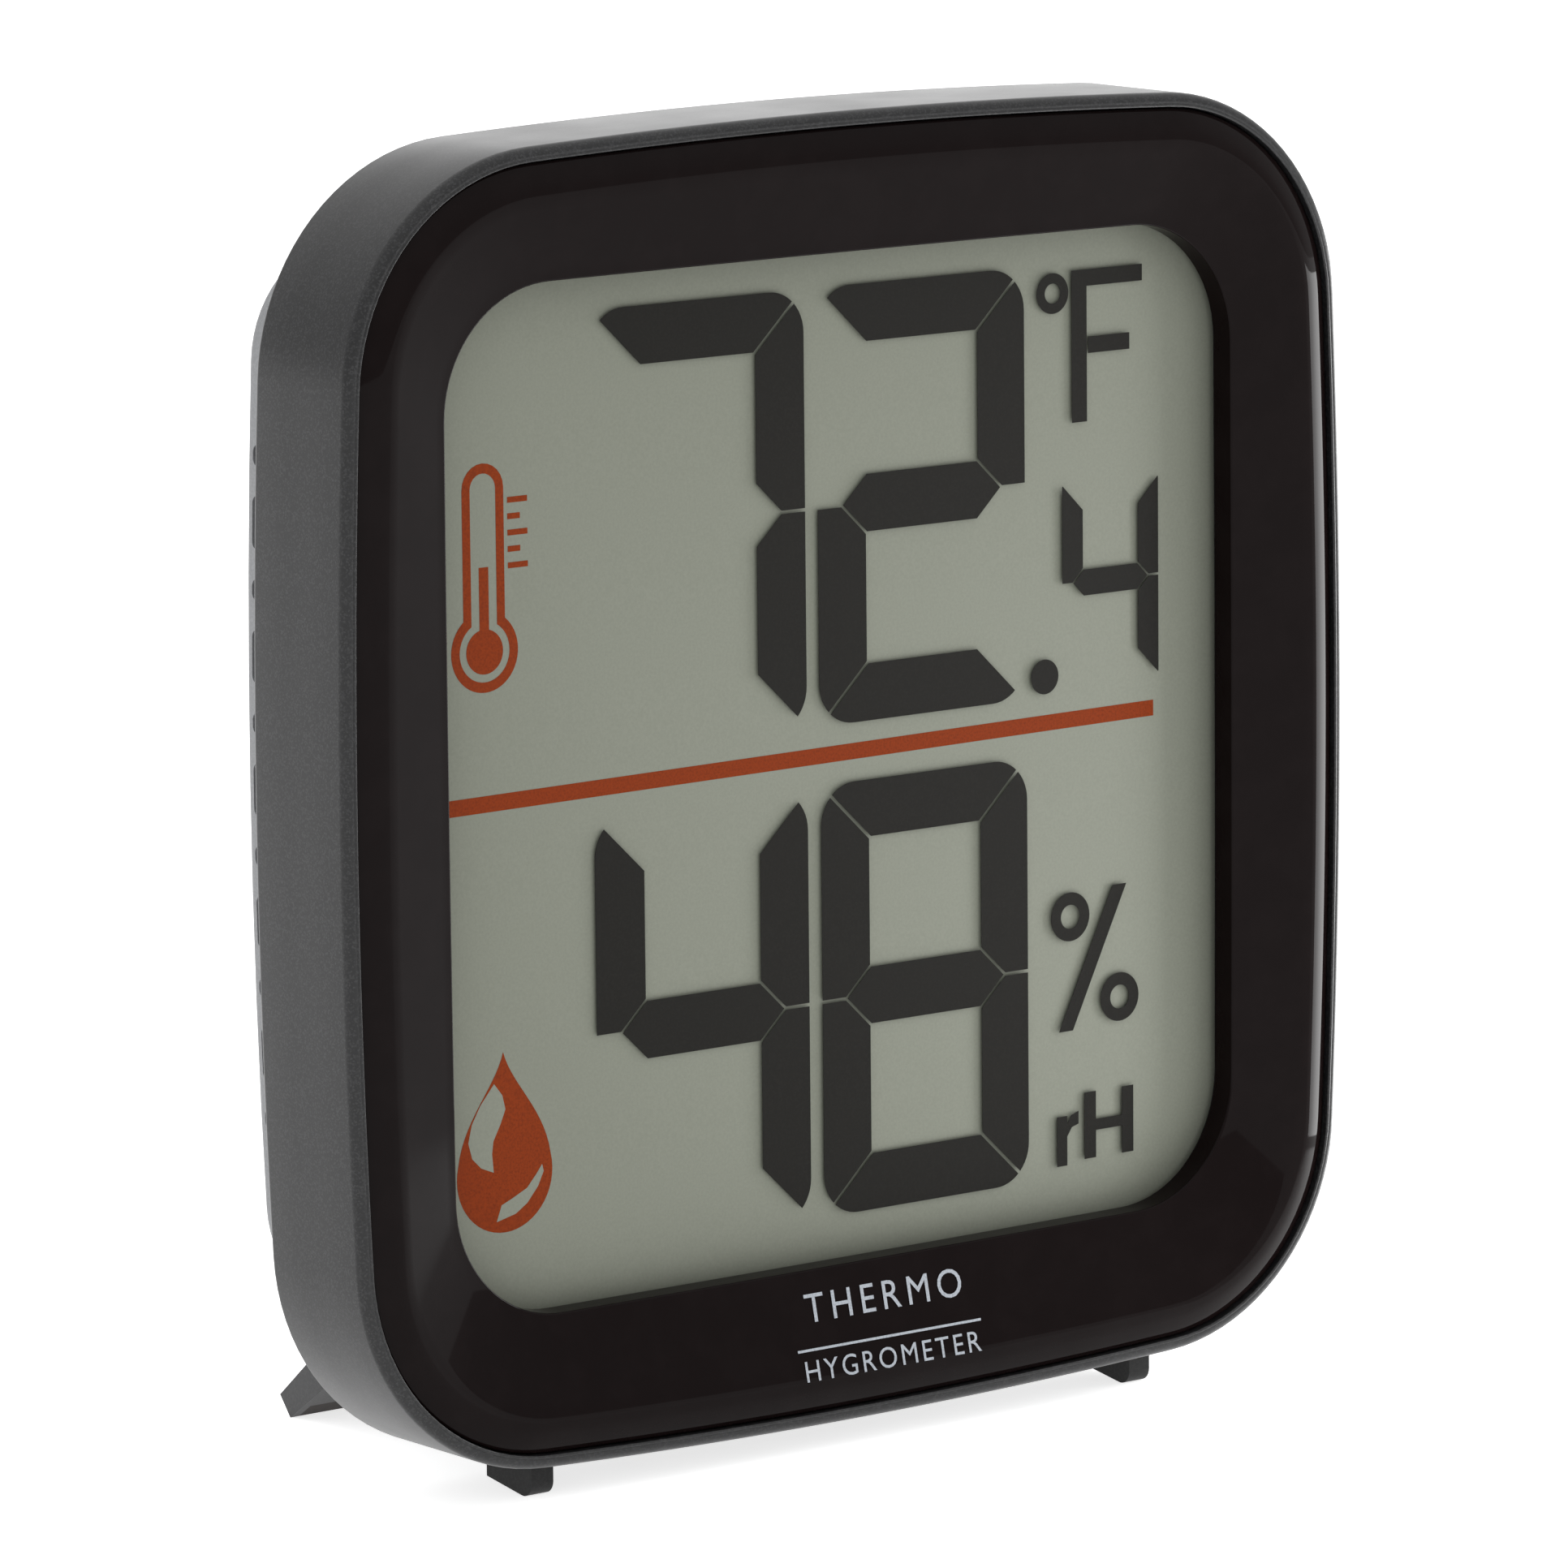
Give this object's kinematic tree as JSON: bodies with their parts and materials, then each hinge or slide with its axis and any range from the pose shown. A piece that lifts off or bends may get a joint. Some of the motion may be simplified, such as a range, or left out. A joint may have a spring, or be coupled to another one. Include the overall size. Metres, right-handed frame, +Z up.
{
  "type": "digital thermo-hygrometer",
  "caption": "Small near-square digital thermo-hygrometer with a segment display in a dished gloss bezel, propped on a fold-out rear stand.",
  "frame": {"origin": "centre of the bounding box of the standing object, with its stand open, at the table surface", "axes": "+X to the right seen from the display's side, +Y to the rear, +Z up; the display faces -Y and the case leans back 1.2 degrees"},
  "size_m": [0.071, 0.0264, 0.0756],
  "materials": {
    "case_paint": "satin dark grey metallic paint",
    "gloss_black": "piano gloss",
    "black_foam": "matte closed-cell foam",
    "display_film": "anti-glare film over a grey-green display",
    "display_glass": "clear",
    "display_reflector": "satin foil",
    "white_plastic": "satin",
    "circuit_board": "green solder mask",
    "connector_rubber": "silicone with dark stripes",
    "chip_epoxy": "matte black epoxy",
    "tinned_steel": "tinned",
    "capacitor_ceramic": "fired ceramic",
    "rear_plastic": "fine moulded texture",
    "stand_plastic": "fine moulded texture",
    "grip_rubber": "matte",
    "foot_rubber": "matte",
    "cell_wrap": "printed shrink wrap with no mark",
    "nickel_spring": "nickel plated",
    "magnet_nickel": "nickel plated",
    "dust_mesh": "woven nylon",
    "zinc_steel": "zinc plated"
  },
  "bodies": {
    "case": {"front_case": "case_paint", "gloss_bezel": "gloss_black", "lcd_gasket": "black_foam", "lcd_front_polariser": "display_film", "lcd_front_glass": "display_glass", "lcd_rear_glass": "display_glass", "lcd_reflector": "display_reflector", "lcd_holder": "white_plastic", "main_board": "circuit_board", "zebra_connector": "connector_rubber", "chip_cover": "chip_epoxy", "timing_crystal": "tinned_steel", "chip_capacitors": "capacitor_ceramic", "humidity_sensor": "capacitor_ceramic", "thermistor": "chip_epoxy", "unit_switch": "chip_epoxy", "rear_case": "rear_plastic", "battery_cell": "cell_wrap", "battery_contact": "nickel_spring", "battery_spring": "nickel_spring", "stand_pin_left": "tinned_steel", "stand_pin_right": "tinned_steel", "foot_left": "foot_rubber", "foot_right": "foot_rubber", "magnet_left": "magnet_nickel", "magnet_right": "magnet_nickel", "vent_screen_left": "dust_mesh", "vent_screen_right": "dust_mesh", "case_screws": "zinc_steel", "board_screws": "zinc_steel"},
    "stand": {"stand": "stand_plastic", "stand_grip": "grip_rubber"},
    "door": {"battery_door": "rear_plastic"},
    "button": {"unit_button": "stand_plastic", "switch_plunger": "white_plastic"}
  },
  "joints": [
    {"name": "stand_hinge", "type": "hinge", "parent": "case", "child": "stand", "pos_m": [0, 0.00365, 0.00908], "axis": [1, 0, 0], "range_deg": [0, 129.6]},
    {"name": "door_hinge", "type": "hinge", "parent": "case", "child": "door", "pos_m": [0, 0.00532, 0.02414], "axis": [-1, 0, 0], "range_deg": [0, 95]},
    {"name": "button_press", "type": "slide", "parent": "case", "child": "button", "axis": [0, -0.9998, 0.0209], "range_m": [0, 0.0005], "stiffness_N_per_m": 400}
  ]
}
